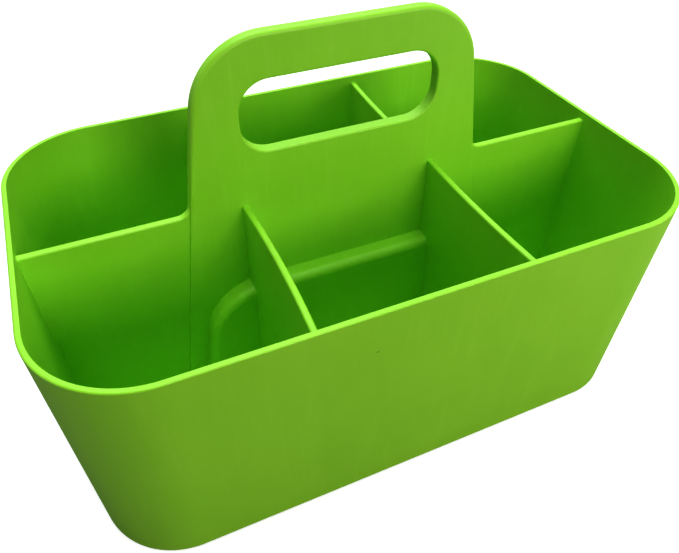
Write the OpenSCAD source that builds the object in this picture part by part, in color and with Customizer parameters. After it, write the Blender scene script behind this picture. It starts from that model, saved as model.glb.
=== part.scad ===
// Six-compartment cleaning caddy with a central carrying handle.
// The base rests on z = 0, the long side runs along X and the front faces -Y.
// All sizes are in millimetres.

/* [Tub] */
// Length across the rim
body_l = 290; // [270:1:320]
// Width across the rim
body_w = 180; // [166:1:205]
// Height of the rim above the ground
body_h = 119.5; // [108:0.5:130]
// Distance each wall leans inwards from the rim to the base
wall_lean = 5; // [3:0.5:7]
// Corner radius at the rim, seen from above
rim_r = 43; // [36:1:48]
// Thickness of the side walls
wall_t = 2.4; // [2:0.1:3]
// Thickness of the floor
floor_t = 2.4; // [2:0.1:3.2]
// Bevel on the edges of the rim
rim_ease = 0.5; // [0.3:0.1:0.8]
// Bevel on the edge around the base
base_ease = 1.2; // [0.6:0.1:1.6]

/* [Partitions and dividers] */
// Distance from the rim down to the tops of the partitions
top_drop = 4; // [2:0.5:8]
// Thickness of the two partitions in line with the handle
partition_t = 3.6; // [3:0.1:4.4]
// Thickness of the four cross dividers
divider_t = 3; // [2.4:0.1:3.6]
// Distance of each divider's middle from the centre
divider_x = 47.3; // [42:0.1:52]
// Radius of the fillet where a partition meets the handle panel
fillet_r = 6; // [5:0.5:12]

/* [Handle panel] */
// Height of the top of the handle above the ground
handle_top = 192; // [184:1:204]
// Width of the handle just below its rounded corners
handle_w = 131.4; // [124:0.2:140]
// Radius of the handle's top corners
handle_r = 32; // [26:1:36]
// Thickness of the panel
panel_t = 6.2; // [5.4:0.1:7.4]
// Outward slope of the panel's sides, as width gained per height lost
side_slope = 0.14; // [0.1:0.01:0.17]

/* [Hand slot] */
// Width of the slot
slot_w = 92; // [84:1:98]
// Height of the slot
slot_h = 32.5; // [30:0.5:36]
// Width of the grip bar left above the slot
grip_h = 19; // [16:0.5:22]
// Corner radius of the slot
slot_r = 13.5; // [8:0.5:14.5]

/* [Stacking socket] */
// Height of the socket's top above the ground
socket_top = 72.2; // [64:0.2:78]
// Width of the socket just below its rounded corners
socket_w = 146.4; // [140:0.2:152]
// Radius of the socket's top corners
socket_r = 29.7; // [24:0.1:33]
// How far the socket stands out from each face of the panel
socket_out = 9; // [7:0.5:12]
// Thickness of the socket's walls
socket_t = 2.2; // [1.8:0.1:2.8]

/* [Display] */
// Which piece to draw

/* [Hidden] */
$fn = 96;

lime = [0.42, 0.66, 0.14];
lime_inner = [0.36, 0.60, 0.11];
lime_socket = [0.31, 0.54, 0.09];
lime_divider = [0.47, 0.71, 0.17];

// Centres of the corner cones, shared by the outside and the inside of the walls
corner_x = body_l / 2 - rim_r;
corner_y = body_w / 2 - rim_r;
lean = wall_lean / body_h;
divider_top = body_h - top_drop;

// A unit step along the panel's sloping side covers this much more than its height
slant = sqrt(1 + side_slope * side_slope);
handle_corner_z = handle_top - handle_r;
socket_corner_z = socket_top - socket_r;
socket_half_y = panel_t / 2 + socket_out;

slot_mid_z = handle_top - grip_h - slot_h / 2;

// Half length and half width of the leaning walls' outside at height z
function half_l(z) = body_l / 2 - wall_lean + lean * z;
function half_w(z) = body_w / 2 - wall_lean + lean * z;
// Half width of the panel at height z
function panel_half(z) = handle_w / 2 + side_slope * (handle_corner_z - z);

// A stretch of the tub's leaning form between two heights, moved inwards at each end
module leaning_block(z0, z1, in0, in1) {
    r0 = half_l(z0) - corner_x - in0;
    r1 = half_l(z1) - corner_x - in1;
    for (sx = [-1, 1])
        for (sy = [-1, 1])
            translate([sx * corner_x, sy * corner_y, z0])
                cylinder(h = z1 - z0, r1 = r0, r2 = r1);
    rotate([90, 0, 0])
        linear_extrude(height = 2 * corner_y, center = true)
            polygon([
                [-corner_x - r0, z0],
                [corner_x + r0, z0],
                [corner_x + r1, z1],
                [-corner_x - r1, z1]
            ]);
    rotate([90, 0, 90])
        linear_extrude(height = 2 * corner_x, center = true)
            polygon([
                [-corner_y - r0, z0],
                [corner_y + r0, z0],
                [corner_y + r1, z1],
                [-corner_y - r1, z1]
            ]);
}

// Outline of a panel with sloping sides and rounded top corners, standing on z = base
module arch_outline(half, corner_z, r, base) {
    cx = half - r * slant;
    touch_x = cx + r / slant;
    touch_z = corner_z + r * side_slope / slant;
    foot = half + side_slope * (corner_z - base);
    polygon([
        [-foot, base],
        [foot, base],
        [touch_x, touch_z],
        [cx, corner_z + r],
        [-cx, corner_z + r],
        [-touch_x, touch_z]
    ]);
    for (s = [-1, 1])
        translate([s * cx, corner_z])
            circle(r = r);
}

// Stands an outline drawn in X and Z upright, with the given thickness along Y
module upright(thickness) {
    rotate([90, 0, 0])
        linear_extrude(height = thickness, center = true)
            children();
}

module socket_outline(inset, base) {
    arch_outline(socket_w / 2 - inset * slant, socket_corner_z, socket_r - inset, base);
}

// The whole space taken by the socket, walls and hollow together
module socket_block(base) {
    upright(2 * socket_half_y)
        socket_outline(0, base);
}

// Tapered tub with rounded corners, open at the top and cut through where the socket sits
module tub() {
    color(lime)
        difference() {
            union() {
                leaning_block(0, base_ease, base_ease, 0);
                leaning_block(base_ease, body_h - rim_ease, 0, 0);
                leaning_block(body_h - rim_ease, body_h, 0, rim_ease);
            }
            leaning_block(floor_t, body_h - rim_ease, wall_t, wall_t);
            leaning_block(body_h - rim_ease, body_h, wall_t, wall_t - rim_ease);
            leaning_block(body_h, body_h + 1, wall_t - rim_ease, wall_t - rim_ease);
            socket_block(-1);
        }
}

// Hollow raised pocket, open from below, that takes the handle of a caddy underneath
module stacking_socket() {
    color(lime_socket)
        difference() {
            socket_block(0);
            upright(2 * (socket_half_y - socket_t))
                socket_outline(socket_t, -1);
        }
}

// Upright centre panel that rises out of the tub and ends in the handle
module handle_panel() {
    color(lime)
        upright(panel_t)
            difference() {
                arch_outline(handle_w / 2, handle_corner_z, handle_r, floor_t);
                socket_outline(0, -1);
                hand_slot_outline();
            }
}

module hand_slot_outline() {
    translate([0, slot_mid_z]) {
        square([slot_w - 2 * slot_r, slot_h], center = true);
        square([slot_w, slot_h - 2 * slot_r], center = true);
        for (sx = [-1, 1])
            for (sz = [-1, 1])
                translate([sx * (slot_w / 2 - slot_r), sz * (slot_h / 2 - slot_r)])
                    circle(r = slot_r);
    }
}

// Outline of a partition between the panel's side and an end wall, on the +X side
module partition_outline() {
    root = panel_half(divider_top);
    fillet_z = divider_top + fillet_r;
    fillet_x = panel_half(fillet_z) + fillet_r * slant;
    polygon([
        [panel_half(floor_t), floor_t],
        [half_l(floor_t) - wall_t, floor_t],
        [half_l(divider_top) - wall_t, divider_top],
        [root, divider_top]
    ]);
    difference() {
        polygon([
            [root, divider_top],
            [fillet_x, divider_top],
            [fillet_x, fillet_z],
            [fillet_x - fillet_r / slant, fillet_z - fillet_r * side_slope / slant]
        ]);
        translate([fillet_x, fillet_z])
            circle(r = fillet_r);
    }
}

module partition() {
    color(lime_inner)
        upright(partition_t)
            partition_outline();
}

module right_partition() {
    partition();
}

module left_partition() {
    mirror([1, 0, 0])
        partition();
}

// Divider between the panel and a long wall, on the +X and +Y side
module divider() {
    color(lime_divider)
        difference() {
            translate([divider_x, 0, 0])
                rotate([90, 0, 90])
                    linear_extrude(height = divider_t, center = true)
                        polygon([
                            [panel_t / 2, floor_t],
                            [half_w(floor_t) - wall_t, floor_t],
                            [half_w(divider_top) - wall_t, divider_top],
                            [panel_t / 2, divider_top]
                        ]);
            socket_block(-1);
        }
}

module rear_right_divider() {
    divider();
}

module rear_left_divider() {
    mirror([1, 0, 0])
        divider();
}

module front_right_divider() {
    mirror([0, 1, 0])
        divider();
}

module front_left_divider() {
    rotate([0, 0, 180])
        divider();
}

tub();
stacking_socket();
handle_panel();
left_partition();
right_partition();
front_left_divider();
front_right_divider();
rear_left_divider();
rear_right_divider();
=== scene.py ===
import math

import bmesh
import bpy
from mathutils import Matrix, Vector


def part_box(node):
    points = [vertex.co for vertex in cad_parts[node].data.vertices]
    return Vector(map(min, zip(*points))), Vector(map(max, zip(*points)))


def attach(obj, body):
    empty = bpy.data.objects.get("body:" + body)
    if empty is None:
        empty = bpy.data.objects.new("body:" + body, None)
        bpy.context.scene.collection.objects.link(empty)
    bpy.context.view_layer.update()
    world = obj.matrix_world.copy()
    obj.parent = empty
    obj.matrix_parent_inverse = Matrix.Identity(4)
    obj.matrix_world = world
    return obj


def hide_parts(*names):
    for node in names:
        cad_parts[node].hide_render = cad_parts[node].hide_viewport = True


MM = 0.001

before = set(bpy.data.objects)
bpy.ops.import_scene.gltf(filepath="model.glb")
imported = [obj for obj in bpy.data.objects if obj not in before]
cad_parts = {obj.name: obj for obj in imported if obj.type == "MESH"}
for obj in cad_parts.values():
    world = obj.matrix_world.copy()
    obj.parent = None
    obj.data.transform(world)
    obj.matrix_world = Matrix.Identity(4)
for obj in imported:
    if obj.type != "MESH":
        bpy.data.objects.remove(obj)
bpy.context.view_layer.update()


def box_mm(node):
    lo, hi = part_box(node)
    return lo / MM, hi / MM


# ---------------------------------------------------------------- sizes taken from the CAD frame

_, tub_hi = box_mm("tub")
panel_lo, panel_hi = box_mm("handle_panel")
_, socket_hi = box_mm("stacking_socket")
_, partition_hi = box_mm("right_partition")
divider_lo, divider_hi = box_mm("rear_right_divider")

HALF_L = tub_hi.x
HALF_W = tub_hi.y
RIM_Z = tub_hi.z
FLOOR_Z = panel_lo.z
PANEL_TOP = panel_hi.z
PANEL_Y = panel_hi.y
PANEL_FOOT = panel_hi.x
SOCKET_TOP = socket_hi.z
SOCKET_Y = socket_hi.y
SOCKET_FOOT = socket_hi.x
PARTITION_Y = partition_hi.y
DIVIDER_TOP = divider_hi.z
DIVIDER_X = (divider_lo.x + divider_hi.x) / 2
DIVIDER_H = (divider_hi.x - divider_lo.x) / 2

# ---------------------------------------------------------------- the moulding's own radii, in mm

RIM_R = 43.0
LEAN = 5.0
WALL = 2.4
SLOPE = 0.14
SLANT = math.sqrt(1 + SLOPE * SLOPE)
HANDLE_R = 32.0
SOCKET_R = 29.7
SOCKET_WALL = 2.2
SLOT_W, SLOT_H, SLOT_R, GRIP_H = 92.0, 32.5, 13.5, 19.0
SWEEP_R = 6.0

RIM_OUT_EDGE = 0.8
RIM_IN_EDGE = 0.3
BASE_EDGE = 1.3
FLOOR_FILLET = 3.0
GRIP_EDGE, PANEL_EDGE = 1.9, 0.8
SLOT_EDGE = 0.9
SOCKET_EDGE = 4.0
DIVIDER_EDGE = 0.9
PARTITION_EDGE = 1.0
JOIN_FILLET = 0.45

# Width of the flat strip beside each rounded edge, which keeps smooth shading off the flat faces
HOLD = 0.12
# Edges that turn more than this many degrees are shaded as creases
CREASE = 40
# How far a piece's hidden edges run into its neighbour
SUNK = 0.8
# Where the swept part of the tub's floor starts, measured outwards from the corners' centres
CORE = 20.0
# How far the floor's opening lies inside the socket's outer face
OPENING_IN = 0.5

# Shrink marks: depth, half width, and how far from the rim and the base they fade in
SINK_DEPTH, SINK_HALF = 0.14, 3.6
SINK_RIM_GAP, SINK_RIM_FADE = 3, 12
SINK_BASE_GAP, SINK_BASE_FADE = 6, 10

# The dividers bow inwards by BOW at mid-length and outwards by BOW_END at the wall
BOW, BOW_END = 1.35, 0.8

# The grip's round edge starts this far above the partitions and is full after the blend
GRIP_ABOVE, GRIP_BLEND = 16, 30

# Stations along a wall: even ones, one close to each end, and a fine run over each shrink mark
WALL_STOPS, END_STOP = 14, 0.3
MARK_STEP, MARK_STOPS, MARK_CLEAR = 1.25, 6, 8.5

# Nominal depth of a partition's section, whose lower part is stretched down to the floor
SKIRT = 20.0

CORNER_X = HALF_L - RIM_R
CORNER_Y = HALF_W - RIM_R
PANEL_CORNER_Z = PANEL_TOP - HANDLE_R
PANEL_HALF = PANEL_FOOT - SLOPE * (PANEL_CORNER_Z - FLOOR_Z)
SOCKET_CORNER_Z = SOCKET_TOP - SOCKET_R
SOCKET_HALF = SOCKET_FOOT - SLOPE * SOCKET_CORNER_Z
SLOT_Z = PANEL_TOP - GRIP_H - SLOT_H / 2


def outer_r(z):
    """Corner radius of the tub's outside at height z."""
    return RIM_R - LEAN + LEAN * z / RIM_Z


def wall_x(z):
    return CORNER_X + outer_r(z) - WALL


def wall_y(z):
    return CORNER_Y + outer_r(z) - WALL


def clamped(share):
    return min(1.0, max(0.0, share))


def panel_x(z):
    return PANEL_HALF + SLOPE * (PANEL_CORNER_Z - z)


# ---------------------------------------------------------------- outlines and profiles


def arc(cx, cy, r, start, end, n):
    """Points and outward normals along an arc, angles in degrees."""
    out = []
    for i in range(n + 1):
        a = math.radians(start + (end - start) * i / n)
        c, s = math.cos(a), math.sin(a)
        out.append((cx + r * c, cy + r * s, c, s))
    return out


def line(a, b, n, normal, hold=1.0):
    """Points and normals along a straight run, with one extra point close to each end."""
    length = math.dist(a, b)
    shares = [0, hold / length]
    shares += [hold / length + (1 - 2 * hold / length) * i / n for i in range(1, n)]
    shares += [1 - hold / length, 1]
    return [
        (a[0] + (b[0] - a[0]) * t, a[1] + (b[1] - a[1]) * t, normal[0], normal[1])
        for t in shares
    ]


def joined(*runs):
    """Runs of an outline put end to end, without the doubled points."""
    out = []
    for run in runs:
        for p in run:
            if not out or math.dist(p[:2], out[-1][:2]) > 1e-6:
                out.append(p)
    return out


def soften(corners, radii, n=6, hold=HOLD, step=9.0):
    """A polyline with rounded corners, as plain points; long straight runs are cut into steps."""
    pts = [Vector(corners[0])]
    for before, here, after, r in zip(corners, corners[1:], corners[2:], radii):
        here = Vector(here)
        u = (Vector(before) - here).normalized()
        v = (Vector(after) - here).normalized()
        half = u.angle(v) / 2
        reach = r / math.tan(half)
        a, b = here + u * reach, here + v * reach
        centre = here + (u + v).normalized() * r / math.sin(half)
        turn = (a - centre).angle(b - centre)
        pts.append(a + u * hold)
        for i in range(n + 1):
            t = i / n
            p = (a - centre) * math.sin((1 - t) * turn) + (b - centre) * math.sin(t * turn)
            pts.append(centre + p / math.sin(turn))
        pts.append(b + v * hold)
    pts.append(Vector(corners[-1]))
    out = [pts[0]]
    for p in pts[1:]:
        cuts = max(1, int((p - out[-1]).length / step))
        start = out[-1]
        out += [start.lerp(p, i / cuts) for i in range(1, cuts + 1)]
    return out


def arch_path(half, corner_z, r, base, arc_n=28, side_n=14, top_n=10):
    """Outline of a panel with sloping sides and round top corners, from the left foot to the right."""
    lean = math.degrees(math.atan(SLOPE))
    cx = half - r * SLANT
    nx, nz = 1 / SLANT, SLOPE / SLANT
    foot = half + SLOPE * (corner_z - base)
    left_touch = (-cx - r * nx, corner_z + r * nz)
    right_touch = (cx + r * nx, corner_z + r * nz)
    return joined(
        line((-foot, base), left_touch, side_n, (-nx, nz)),
        arc(-cx, corner_z, r, 180 - lean, 90, arc_n),
        line((-cx, corner_z + r), (cx, corner_z + r), top_n, (0, 1)),
        arc(cx, corner_z, r, 90, lean, arc_n),
        line(right_touch, (foot, base), side_n, (nx, nz)),
    )


def round_rect_path(hx, hy, r, arc_n, x_n, y_n, inward=False):
    """Closed outline of a rounded rectangle, starting at the middle of its +Y side and turning to -X."""
    path = joined(
        line((0, hy), (-(hx - r), hy), x_n, (0, 1)),
        arc(-(hx - r), hy - r, r, 90, 180, arc_n),
        line((-hx, hy - r), (-hx, -(hy - r)), y_n, (-1, 0)),
        arc(-(hx - r), -(hy - r), r, 180, 270, arc_n),
        line((-(hx - r), -hy), (0, -hy), x_n, (0, -1)),
        line((0, -hy), (hx - r, -hy), x_n, (0, -1)),
        arc(hx - r, -(hy - r), r, 270, 360, arc_n),
        line((hx, -(hy - r)), (hx, hy - r), y_n, (1, 0)),
        arc(hx - r, hy - r, r, 0, 90, arc_n),
        line((hx - r, hy), (0, hy), x_n, (0, 1)),
    )[:-1]
    if inward:
        path = [(x, y, -nx, -ny) for x, y, nx, ny in path]
    return path


# ---------------------------------------------------------------- mesh building


class Shell:
    """Collects the faces of one piece, in mm."""

    def __init__(self):
        self.bm = bmesh.new()

    def verts(self, points):
        return [self.bm.verts.new(Vector(p) * MM) for p in points]

    def face(self, points):
        self.bm.faces.new(self.verts(points))

    def grid(self, rows, closed=False):
        """Quads between neighbouring rows of points; closed joins each row's end to its start."""
        made = [self.verts(row) for row in rows]
        for a, b in zip(made, made[1:]):
            n = len(a)
            for i in range(n if closed else n - 1):
                j = (i + 1) % n
                self.bm.faces.new((a[i], a[j], b[j], b[i]))

    def finish(self, name, *nodes):
        bmesh.ops.remove_doubles(self.bm, verts=self.bm.verts, dist=2e-6)
        bmesh.ops.dissolve_degenerate(self.bm, edges=self.bm.edges, dist=1e-6)
        bmesh.ops.recalc_face_normals(self.bm, faces=self.bm.faces)
        mesh = bpy.data.meshes.new(name)
        self.bm.to_mesh(mesh)
        self.bm.free()
        mesh.shade_smooth()
        mesh.set_sharp_from_angle(angle=math.radians(CREASE))
        obj = bpy.data.objects.new(name, mesh)
        bpy.context.scene.collection.objects.link(obj)
        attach(obj, "root")
        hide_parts(*nodes)
        return obj


def swept(path, profile):
    """Rows of points: each profile point (inset, y) carried along an upright outline."""
    return [[(x - nx * p[0], p[1], z - nz * p[0]) for x, z, nx, nz in path] for p in profile]


def split_at_middle(points):
    """Index of the point nearest x = 0."""
    return min(range(len(points)), key=lambda i: abs(points[i][0]))


# ---------------------------------------------------------------- tub


def opening_path(z):
    half = SOCKET_FOOT - SLOPE * z - OPENING_IN
    return round_rect_path(half, SOCKET_Y - OPENING_IN, SOCKET_EDGE - OPENING_IN, 6, 6, 2)


def ring_halves(shell, outer, inner, z):
    """Fills the flat ring between two closed outlines that start at x = 0 on their +Y side."""
    for mirrored in (1, -1):
        a = [p for p in outer if p[0] * mirrored <= 1e-6]
        b = [p for p in inner if p[0] * mirrored <= 1e-6]
        a.sort(key=lambda p: -math.atan2(p[1], abs(p[0]) + 1e-9))
        b.sort(key=lambda p: -math.atan2(p[1], abs(p[0]) + 1e-9))
        loop = [(p[0], p[1], z) for p in a] + [(p[0], p[1], z) for p in reversed(b)]
        shell.face(loop)


def stops_along(a, b):
    """Points from a to b, close together near its ends and where an inner plate meets the wall."""
    a, b = Vector(a), Vector(b)
    length = (b - a).length
    along_x = abs(a.x - b.x) > 1
    marks = [-DIVIDER_X, DIVIDER_X] if along_x else [0.0]
    axis = 0 if along_x else 1
    at = {0.0, END_STOP, length - END_STOP, length}
    at |= {length * i / WALL_STOPS for i in range(1, WALL_STOPS)}
    for mark in marks:
        middle = (mark - a[axis]) / (b - a)[axis] * length
        if 0 < middle < length:
            at = {d for d in at if abs(d - middle) > MARK_CLEAR or d in (0.0, length)}
            at |= {middle + MARK_STEP * i for i in range(-MARK_STOPS, MARK_STOPS + 1)}
    return [tuple(a.lerp(b, d / length)) for d in sorted(at)]


def sink(cx, cy, nx, ny, z):
    """Depth of the shrink mark that a thick junction leaves in the wall's outer face."""
    below_rim = clamped((RIM_Z - SINK_RIM_GAP - z) / SINK_RIM_FADE)
    above_base = clamped((z - SINK_BASE_GAP) / SINK_BASE_FADE)
    depth = SINK_DEPTH * below_rim * above_base
    if abs(ny) > 0.999:
        return depth * math.exp(-(((abs(cx) - DIVIDER_X) / SINK_HALF) ** 2))
    if abs(nx) > 0.999:
        return depth * math.exp(-((cy / SINK_HALF) ** 2))
    return 0.0


def build_tub():
    shell = Shell()
    stations = []

    def side(a, b, normal):
        for x, y in stops_along(a, b):
            stations.append((x, y, *normal))

    def corner(cx, cy, start):
        for _, _, c, s in arc(0, 0, 1, start, start + 90, 36)[1:-1]:
            stations.append((cx, cy, c, s))

    side((0, CORNER_Y), (-CORNER_X, CORNER_Y), (0, 1))
    corner(-CORNER_X, CORNER_Y, 90)
    side((-CORNER_X, CORNER_Y), (-CORNER_X, -CORNER_Y), (-1, 0))
    corner(-CORNER_X, -CORNER_Y, 180)
    side((-CORNER_X, -CORNER_Y), (0, -CORNER_Y), (0, -1))
    side((0, -CORNER_Y), (CORNER_X, -CORNER_Y), (0, -1))
    corner(CORNER_X, -CORNER_Y, 270)
    side((CORNER_X, -CORNER_Y), (CORNER_X, CORNER_Y), (1, 0))
    corner(CORNER_X, CORNER_Y, 0)
    side((CORNER_X, CORNER_Y), (0, CORNER_Y), (0, 1))
    stations.pop()
    stations = [p for i, p in enumerate(stations) if p != stations[i - 1]]

    profile = soften(
        [
            (CORE, FLOOR_Z),
            (outer_r(FLOOR_Z) - WALL, FLOOR_Z),
            (outer_r(RIM_Z) - WALL, RIM_Z),
            (outer_r(RIM_Z), RIM_Z),
            (outer_r(0), 0),
            (CORE, 0),
        ],
        [FLOOR_FILLET, RIM_IN_EDGE, RIM_OUT_EDGE, BASE_EDGE],
    )
    rows = []
    for d, z in profile:
        outside = d > outer_r(z) - WALL / 2
        row = []
        for cx, cy, nx, ny in stations:
            out = d - sink(cx, cy, nx, ny, z) if outside else d
            row.append((cx + nx * out, cy + ny * out, z))
        rows.append(row)
    shell.grid(rows, closed=True)

    top_hole = [(x, y) for x, y, _, _ in opening_path(FLOOR_Z)]
    low_hole = [(x, y) for x, y, _, _ in opening_path(0)]
    ring_halves(shell, [p[:2] for p in rows[0]], top_hole, FLOOR_Z)
    ring_halves(shell, [p[:2] for p in rows[-1]], low_hole, 0)
    shell.grid(
        [[(x, y, FLOOR_Z) for x, y in top_hole], [(x, y, 0) for x, y in low_hole]], closed=True
    )
    return shell.finish("tub_shell", "tub")


# ---------------------------------------------------------------- centre panel with the handle


def edge_profile(half_y, r, n):
    """Section across a plate's rounded edge, from the front face to the rear one."""
    deep = r + 2 * HOLD
    return soften([(deep, -half_y), (0, -half_y), (0, half_y), (deep, half_y)], [r, r], n)


def panel_edge(z):
    """The grip's edges are full and round; they tighten down the sides towards the partitions."""
    t = clamped((z - DIVIDER_TOP - GRIP_ABOVE) / GRIP_BLEND)
    return PANEL_EDGE + (GRIP_EDGE - PANEL_EDGE) * t * t * (3 - 2 * t)


def build_panel():
    shell = Shell()
    base = FLOOR_Z - SUNK
    outer = arch_path(PANEL_HALF, PANEL_CORNER_Z, HANDLE_R, base)
    slot = round_rect_path(SLOT_W / 2, SLOT_H / 2, SLOT_R, 16, 8, 2, inward=True)
    slot = [(x, z + SLOT_Z, nx, nz) for x, z, nx, nz in slot]
    notch = arch_path(
        SOCKET_HALF - SUNK * SLANT, SOCKET_CORNER_Z, SOCKET_R - SUNK, base, 16, 6, 6
    )
    columns = []
    for x, z, nx, nz in outer:
        section = edge_profile(PANEL_Y, panel_edge(z), 8)
        columns.append([(x - nx * d, y, z - nz * d) for d, y in section])
    outer_rows = [list(row) for row in zip(*columns)]
    slot_rows = swept(slot, edge_profile(PANEL_Y, SLOT_EDGE, 4))
    shell.grid(outer_rows)
    shell.grid(slot_rows, closed=True)
    notch_rows = [[(x, y, z) for x, z, _, _ in notch] for y in (-PANEL_Y, PANEL_Y)]
    shell.grid(notch_rows)
    for o, s, c in (
        (outer_rows[0], slot_rows[0], notch_rows[0]),
        (outer_rows[-1], slot_rows[-1], notch_rows[1]),
    ):
        mid_o, mid_c = split_at_middle(o), split_at_middle(c)
        mid_s = min(range(1, len(s)), key=lambda i: abs(s[i][0]) + (s[i][2] > SLOT_Z) * 99)
        shell.face(o[: mid_o + 1] + s[: mid_s + 1] + list(reversed(c[: mid_c + 1])))
        shell.face(
            list(reversed(o[mid_o:])) + [s[0]] + list(reversed(s[mid_s:])) + c[mid_c:]
        )
    for o, c in ((0, 0), (-1, -1)):
        shell.face([row[o] for row in outer_rows] + [notch_rows[1][c], notch_rows[0][c]])
    return shell.finish("centre_panel", "handle_panel")


# ---------------------------------------------------------------- stacking socket


def build_socket():
    shell = Shell()
    outer = arch_path(SOCKET_HALF, SOCKET_CORNER_Z, SOCKET_R, 0)
    inner = arch_path(
        SOCKET_HALF - SOCKET_WALL * SLANT, SOCKET_CORNER_Z, SOCKET_R - SOCKET_WALL, 0
    )
    inner_y = SOCKET_Y - SOCKET_WALL
    outer_rows = swept(outer, edge_profile(SOCKET_Y, SOCKET_EDGE, 10))
    inner_rows = swept(inner, edge_profile(inner_y, SOCKET_EDGE - SOCKET_WALL, 5))
    for rows, half_y in ((outer_rows, SOCKET_Y), (inner_rows, inner_y)):
        for row in rows:
            row[0] = (row[0][0], row[0][1], 0)
            row[-1] = (row[-1][0], row[-1][1], 0)
        shell.grid(rows)
        for row, y in ((rows[0], -half_y), (rows[-1], half_y)):
            shell.face(row + [(0, y, 0)])
    for end in (0, -1):
        lip = [(0, -SOCKET_Y, 0)] + [row[end] for row in outer_rows] + [(0, SOCKET_Y, 0)]
        lip += [(0, inner_y, 0)] + [row[end] for row in reversed(inner_rows)] + [(0, -inner_y, 0)]
        shell.face(lip)
    return shell.finish("socket_shell", "stacking_socket")


# ---------------------------------------------------------------- partitions and dividers


def flare(distance):
    """How far a plate swells where it runs into a wall, at this distance from the wall."""
    if distance >= JOIN_FILLET:
        return 0.0
    gap = JOIN_FILLET - max(distance, 0.0)
    return JOIN_FILLET - math.sqrt(max(JOIN_FILLET**2 - gap * gap, 0.0))


def close_to_walls(length):
    """Distances along a plate, close together where it runs into a wall."""
    near = [-SUNK] + [JOIN_FILLET * t for t in (0, 0.05, 0.15, 0.3, 0.5, 0.75, 1)]
    near.append(JOIN_FILLET + 0.3)
    middle = [length * i / 16 for i in range(1, 16)]
    return [-SUNK, 0.0, *(d for d in middle if 3 < d < length - 3), *(length - d for d in near[::-1])]


def plate_section(half, r, swell, top, bottom, n=5):
    """Points (across, height) up one face of a plate, over its rounded top and down the other."""
    grown = r + swell
    crown = []
    heights = [bottom + (top - r - HOLD - bottom) * i / 6 for i in range(7)]
    side = [(-(half + swell), z) for z in heights]
    for i in range(n + 1):
        a = math.pi / 2 * i / n
        crown.append((-(half - r) - grown * math.cos(a), top - r + grown * math.sin(a)))
    left = side + crown + [(-(half - r) + HOLD, top + swell)]
    return left + [(-x, z) for x, z in reversed(left)]


def build_divider(name, node, sx, sy):
    shell = Shell()
    length = wall_y(DIVIDER_TOP) - PANEL_Y
    on_socket = SOCKET_Y - SOCKET_WALL / 2 - PANEL_Y
    stops = sorted(close_to_walls(length) + [on_socket - 0.1, on_socket + 0.1])
    rows = []
    for d in stops:
        swell = flare(length - d)
        bottom = FLOOR_Z - SUNK if d > on_socket else SOCKET_TOP - SOCKET_WALL / 2
        share = d / length
        warp = BOW_END * share - BOW * 4 * share * (1 - share)
        row = []
        for across, z in plate_section(DIVIDER_H, DIVIDER_EDGE, swell, DIVIDER_TOP, bottom):
            y = PANEL_Y + share * (wall_y(min(z, DIVIDER_TOP)) - PANEL_Y)
            high = max(0.0, (z - FLOOR_Z) / (DIVIDER_TOP - FLOOR_Z))
            row.append((sx * (DIVIDER_X + across + warp * high), sy * y, z))
        rows.append(row)
    shell.grid(rows)
    shell.face(rows[0])
    shell.face(rows[-1])
    shell.grid([[row[0] for row in rows], [row[-1] for row in rows]])
    return shell.finish(name, node)


def build_partition(name, node, sx):
    shell = Shell()
    top = DIVIDER_TOP
    lean = math.degrees(math.atan(SLOPE))
    sweep_z = top + SWEEP_R
    sweep_x = panel_x(sweep_z) + SWEEP_R * SLANT
    swoop = arc(sweep_x, sweep_z, SWEEP_R, 180 + lean, 270, 12)
    length = wall_x(top) - sweep_x
    crest = [(x, z, -nx, -nz, 0.0) for x, z, nx, nz in swoop]
    for d in close_to_walls(length):
        if d > 0.5:
            crest.append((sweep_x + d, top, 0.0, 1.0, flare(length - d)))
    first = crest[0]
    crest.insert(0, (first[0] - SUNK, first[1] + SUNK, first[2], first[3], 0.0))
    foot_in, foot_out = panel_x(FLOOR_Z) - SUNK, wall_x(FLOOR_Z) + SUNK
    edge = -PARTITION_EDGE - HOLD
    x0, x1 = crest[0][0], crest[-1][0]
    rows = []
    for x, z, nx, nz, swell in crest:
        share = (x - x0) / (x1 - x0)
        foot = foot_in + share * (foot_out - foot_in)
        row = []
        for across, height in plate_section(PARTITION_Y, PARTITION_EDGE, swell, 0.0, -SKIRT):
            if height > edge - 1e-6:
                row.append((sx * (x + nx * height), across, z + nz * height))
            else:
                deep = (height - edge) / (-SKIRT - edge)
                top_x, top_z = x + nx * edge, z + nz * edge
                low_x = top_x + (foot - top_x) * deep
                low_z = top_z + (FLOOR_Z - SUNK - top_z) * deep
                row.append((sx * low_x, across, low_z))
        rows.append(row)
    shell.grid(rows)
    shell.face(rows[0])
    shell.face(rows[-1])
    shell.grid([[row[0] for row in rows], [row[-1] for row in rows]])
    return shell.finish(name, node)


pieces = [
    build_tub(),
    build_panel(),
    build_socket(),
    build_partition("partition_right", "right_partition", 1),
    build_partition("partition_left", "left_partition", -1),
    build_divider("divider_front_left", "front_left_divider", -1, -1),
    build_divider("divider_front_right", "front_right_divider", 1, -1),
    build_divider("divider_rear_left", "rear_left_divider", -1, 1),
    build_divider("divider_rear_right", "rear_right_divider", 1, 1),
]

# ---------------------------------------------------------------- material


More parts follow.
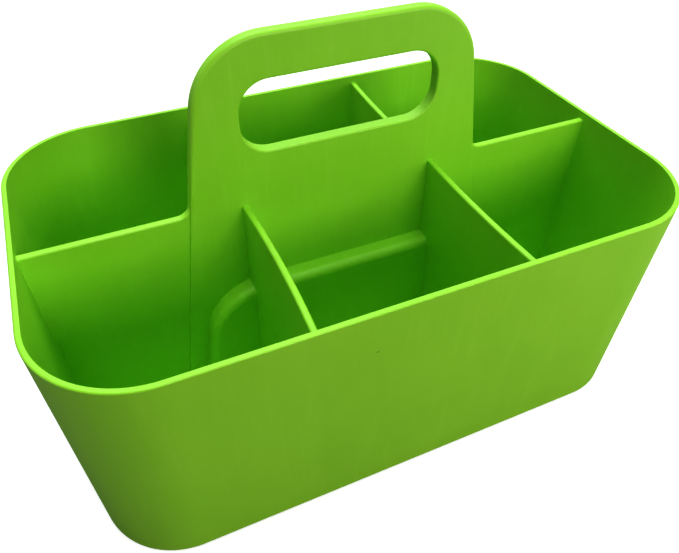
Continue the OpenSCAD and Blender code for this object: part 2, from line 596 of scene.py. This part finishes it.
class Nodes:
    """Short names for building one material's node tree."""

    def __init__(self, name):
        self.mat = bpy.data.materials.new(name)
        self.mat.use_nodes = True
        self.tree = self.mat.node_tree
        self.bsdf = self.tree.nodes["Principled BSDF"]
        self.place = self.tree.nodes.new("ShaderNodeTexCoord").outputs["Object"]

    def link(self, a, b):
        self.tree.links.new(a, b)

    def stretched(self, scale, turn=(0, 0, 0)):
        node = self.tree.nodes.new("ShaderNodeMapping")
        node.inputs["Scale"].default_value = scale
        node.inputs["Rotation"].default_value = turn
        self.link(self.place, node.inputs["Vector"])
        return node.outputs["Vector"]

    def noise(self, scale, detail=2.0, rough=0.5, where=None, distortion=0.0):
        node = self.tree.nodes.new("ShaderNodeTexNoise")
        node.inputs["Scale"].default_value = scale
        node.inputs["Detail"].default_value = detail
        node.inputs["Roughness"].default_value = rough
        node.inputs["Distortion"].default_value = distortion
        self.link(where or self.place, node.inputs["Vector"])
        return node.outputs["Fac"]

    def ranged(self, value, low, high, to_low=0.0, to_high=1.0, smooth=True):
        node = self.tree.nodes.new("ShaderNodeMapRange")
        node.interpolation_type = "SMOOTHSTEP" if smooth else "LINEAR"
        for key, v in zip(("From Min", "From Max", "To Min", "To Max"), (low, high, to_low, to_high)):
            node.inputs[key].default_value = v
        self.link(value, node.inputs["Value"])
        return node.outputs["Result"]

    def math(self, kind, a, b):
        node = self.tree.nodes.new("ShaderNodeMath")
        node.operation = kind
        for socket, v in zip(node.inputs, (a, b)):
            if isinstance(v, (int, float)):
                socket.default_value = v
            else:
                self.link(v, socket)
        return node.outputs["Value"]

    def spot(self, centre, scale, radius):
        """1 at a point of the surface, fading raggedly to 0 at the radius."""
        shift = self.tree.nodes.new("ShaderNodeVectorMath")
        shift.operation = "SUBTRACT"
        shift.inputs[1].default_value = centre
        self.link(self.place, shift.inputs[0])
        squash = self.tree.nodes.new("ShaderNodeVectorMath")
        squash.operation = "MULTIPLY"
        squash.inputs[1].default_value = scale
        self.link(shift.outputs[0], squash.inputs[0])
        length = self.tree.nodes.new("ShaderNodeVectorMath")
        length.operation = "LENGTH"
        self.link(squash.outputs[0], length.inputs[0])
        ragged = self.math("MULTIPLY", self.noise(1800, 2), radius)
        away = self.math("ADD", length.outputs["Value"], ragged)
        return self.ranged(away, radius, radius * 1.4, 1, 0)

    def mixed(self, share, a, b):
        node = self.tree.nodes.new("ShaderNodeMix")
        node.data_type = "RGBA"
        self.link(share, node.inputs["Factor"])
        for key, v in ((6, a), (7, b)):
            if isinstance(v, tuple):
                node.inputs[key].default_value = (*v, 1)
            else:
                self.link(v, node.inputs[key])
        return node.outputs[2]

    def bump(self, height, distance, strength=1.0, before=None):
        node = self.tree.nodes.new("ShaderNodeBump")
        node.inputs["Distance"].default_value = distance
        node.inputs["Strength"].default_value = strength
        self.link(height, node.inputs["Height"])
        if before is not None:
            self.link(before, node.inputs["Normal"])
        return node.outputs["Normal"]


LIME = (0.335, 0.745, 0.040)
LIME_DEEP = (0.32, 0.73, 0.036)
LIME_PALE = (0.38, 0.79, 0.062)
LIME_RUBBED = (0.47, 0.84, 0.14)
SCUFF_DARK = (0.03, 0.05, 0.01)
SCUFF_PLACE = (-0.165 * HALF_L * MM, -HALF_W * MM, 0.82 * RIM_Z * MM)
SCUFF_SQUASH, SCUFF_R = (1, 0.15, 2.6), 0.0011


def plastic():
    """Satin injection-moulded plastic: cloudy pigment, fine grain, flow lines, rubbed hairlines."""
    n = Nodes("lime_plastic")
    cloud = n.ranged(n.noise(22, 3, 0.55), 0.36, 0.64)
    flow = n.noise(1, 4, 0.6, n.stretched((260, 260, 22)))
    speck = n.noise(1500, 3, 0.6)
    hair_a = n.noise(1, 1, 0.4, n.stretched((900, 900, 14), (0.5, 0.15, 0.3)), 0.3)
    hair_b = n.noise(1, 1, 0.4, n.stretched((14, 900, 900), (0.1, 0.35, 0.2)), 0.3)
    hair = n.math("ADD", n.ranged(hair_a, 0.735, 0.79), n.ranged(hair_b, 0.745, 0.80))
    worn = n.math("MULTIPLY", hair, n.ranged(n.noise(13, 2), 0.46, 0.62))

    colour = n.mixed(cloud, LIME_DEEP, LIME)
    colour = n.mixed(n.ranged(flow, 0.45, 0.85, 0, 0.5), colour, LIME_PALE)
    colour = n.mixed(n.ranged(speck, 0.52, 0.78, 0, 0.55), colour, LIME_PALE)
    colour = n.mixed(n.math("MULTIPLY", worn, 0.18), colour, LIME_RUBBED)
    scuff = n.spot(SCUFF_PLACE, SCUFF_SQUASH, SCUFF_R)
    colour = n.mixed(n.math("MULTIPLY", scuff, 0.55), colour, SCUFF_DARK)
    n.link(colour, n.bsdf.inputs["Base Color"])

    streaks = n.ranged(flow, 0.3, 0.7, 0.385, 0.45, False)
    rough = n.math("ADD", streaks, n.ranged(speck, 0.35, 0.7, 0, 0.05))
    rough = n.math("ADD", rough, n.ranged(n.noise(34, 2), 0.4, 0.66, 0, 0.045))
    rough = n.math("ADD", rough, n.math("MULTIPLY", worn, 0.12))
    n.link(rough, n.bsdf.inputs["Roughness"])

    wave = n.bump(n.noise(20, 1, 0.4), 0.001, 0.06)
    grain = n.bump(n.noise(2100, 2, 0.55), 0.00002, 0.55, wave)
    n.link(n.bump(worn, 0.00002, 0.5, grain), n.bsdf.inputs["Normal"])
    n.bsdf.inputs["IOR"].default_value = 1.49
    return n.mat


material = plastic()
for piece in pieces:
    piece.data.materials.append(material)

# ---------------------------------------------------------------- stage and light

scene = bpy.context.scene
scene.view_settings.view_transform = "Standard"
scene.view_settings.gamma = 0.74

AIM_Z = 0.08
WARM, CLEAR = (1.0, 0.87, 0.98), (0.95, 0.98, 1.0)
FLOOR_HALF, FLOOR_GREY = 6, 0.6
FLOOR_GLOW, FLOOR_BOUNCE, SKY_FILL = 0.62, 0.19, 0.0


def seen_and_lit(tree, ray, there, otherwise, output):
    """Uses one shader for one kind of ray and another for the rest."""
    path = tree.nodes.new("ShaderNodeLightPath")
    mix = tree.nodes.new("ShaderNodeMixShader")
    tree.links.new(path.outputs[ray], mix.inputs["Fac"])
    tree.links.new(otherwise, mix.inputs[1])
    tree.links.new(there, mix.inputs[2])
    tree.links.new(mix.outputs["Shader"], output)


def build_floor():
    """White to the camera, apart from soft shadows; a dim bounce card to the object."""
    mesh = bpy.data.meshes.new("studio_floor")
    corners = [(x * FLOOR_HALF, y * FLOOR_HALF, 0) for x, y in ((-1, -1), (1, -1), (1, 1), (-1, 1))]
    mesh.from_pydata(corners, [], [(0, 1, 2, 3)])
    floor = bpy.data.objects.new("studio_floor", mesh)
    scene.collection.objects.link(floor)
    mat = bpy.data.materials.new("studio_white")
    mat.use_nodes = True
    tree = mat.node_tree
    tree.nodes.remove(tree.nodes["Principled BSDF"])
    paper = tree.nodes.new("ShaderNodeBsdfDiffuse")
    paper.inputs["Color"].default_value = (FLOOR_GREY, FLOOR_GREY, FLOOR_GREY, 1)
    glow = tree.nodes.new("ShaderNodeEmission")
    glow.inputs["Strength"].default_value = FLOOR_GLOW
    both = tree.nodes.new("ShaderNodeAddShader")
    tree.links.new(paper.outputs[0], both.inputs[0])
    tree.links.new(glow.outputs[0], both.inputs[1])
    dim = tree.nodes.new("ShaderNodeBsdfDiffuse")
    dim.inputs["Color"].default_value = (FLOOR_BOUNCE, FLOOR_BOUNCE, FLOOR_BOUNCE, 1)
    end = tree.nodes["Material Output"].inputs["Surface"]
    seen_and_lit(tree, "Is Camera Ray", both.outputs[0], dim.outputs[0], end)
    mesh.materials.append(mat)


def build_sky():
    """White to the camera and in reflections; SKY_FILL as diffuse light."""
    world = bpy.data.worlds.new("studio")
    scene.world = world
    world.use_nodes = True
    tree = world.node_tree
    seen = tree.nodes["Background"]
    seen.inputs["Color"].default_value = (1, 1, 1, 1)
    seen.inputs["Strength"].default_value = 1
    lit = tree.nodes.new("ShaderNodeBackground")
    lit.inputs["Color"].default_value = (1, 1, 1, 1)
    lit.inputs["Strength"].default_value = SKY_FILL
    end = tree.nodes["World Output"].inputs["Surface"]
    seen_and_lit(tree, "Is Diffuse Ray", lit.outputs[0], seen.outputs[0], end)


def place_light(name, data, azimuth, elevation, distance):
    """Hangs a light round the object, aimed at it; azimuth 0 is the front, 90 the right."""
    az, el = math.radians(azimuth), math.radians(elevation)
    out = Vector((math.sin(az) * math.cos(el), -math.cos(az) * math.cos(el), math.sin(el)))
    lamp = bpy.data.objects.new(name, data)
    lamp.location = Vector((0, 0, AIM_Z)) + out * distance
    lamp.rotation_mode = "QUATERNION"
    lamp.rotation_quaternion = out.to_track_quat("Z", "Y")
    lamp.visible_camera = False
    scene.collection.objects.link(lamp)


def softbox(name, azimuth, elevation, distance, size, light, tint):
    """A square area light; light is its strength at the aim, whatever the distance."""
    data = bpy.data.lights.new(name, "AREA")
    data.color = tint
    data.shape = "SQUARE"
    data.size = size
    data.energy = light * math.pi * distance**2
    place_light(name, data, azimuth, elevation, distance)


def overhead(name, light, spread, tint):
    """A distant light straight above, spread over this many degrees."""
    data = bpy.data.lights.new(name, "SUN")
    data.color = tint
    data.energy = light
    data.angle = math.radians(spread)
    place_light(name, data, 0, 90, 1.5)


build_floor()
build_sky()
overhead("overhead_diffuser", 2.0, 38, CLEAR)
softbox("front_softbox", 8, 23, 1.5, 0.6, 1.5, WARM)
softbox("rear_softbox", 180, 55, 1.5, 0.8, 1.15, CLEAR)
softbox("rear_right_softbox", 135, 55, 1.5, 0.8, 0.85, CLEAR)
softbox("right_reflector", 45, 12, 0.55, 0.3, 0.85, WARM)
softbox("left_reflector", 270, 12, 0.55, 0.3, 0.3, WARM)

# ---------------------------------------------------------------- camera

AZIMUTH, ELEVATION, ROLL = -24.21, 40.49, 0.46
TARGET = Vector((-11.86, -21.54, 92.20)) * MM
DISTANCE = 299.31 * MM
SENSOR, FOCAL_SHARE = 36, 0.9490
SHIFT = (0.0068, -0.0398)


def build_camera():
    az, el, roll = (math.radians(v) for v in (AZIMUTH, ELEVATION, ROLL))
    back = Vector((math.sin(az) * math.cos(el), -math.cos(az) * math.cos(el), math.sin(el)))
    right = (-back).cross(Vector((0, 0, 1))).normalized()
    up = right.cross(-back)
    right, up = (
        right * math.cos(roll) + up * math.sin(roll),
        up * math.cos(roll) - right * math.sin(roll),
    )
    turn = Matrix((right, up, back)).transposed().to_4x4()
    data = bpy.data.cameras.new("camera")
    data.sensor_width = SENSOR
    data.lens = SENSOR * FOCAL_SHARE
    data.shift_x, data.shift_y = SHIFT
    camera = bpy.data.objects.new("camera", data)
    camera.matrix_world = Matrix.Translation(TARGET + back * DISTANCE) @ turn
    scene.collection.objects.link(camera)
    scene.camera = camera


build_camera()
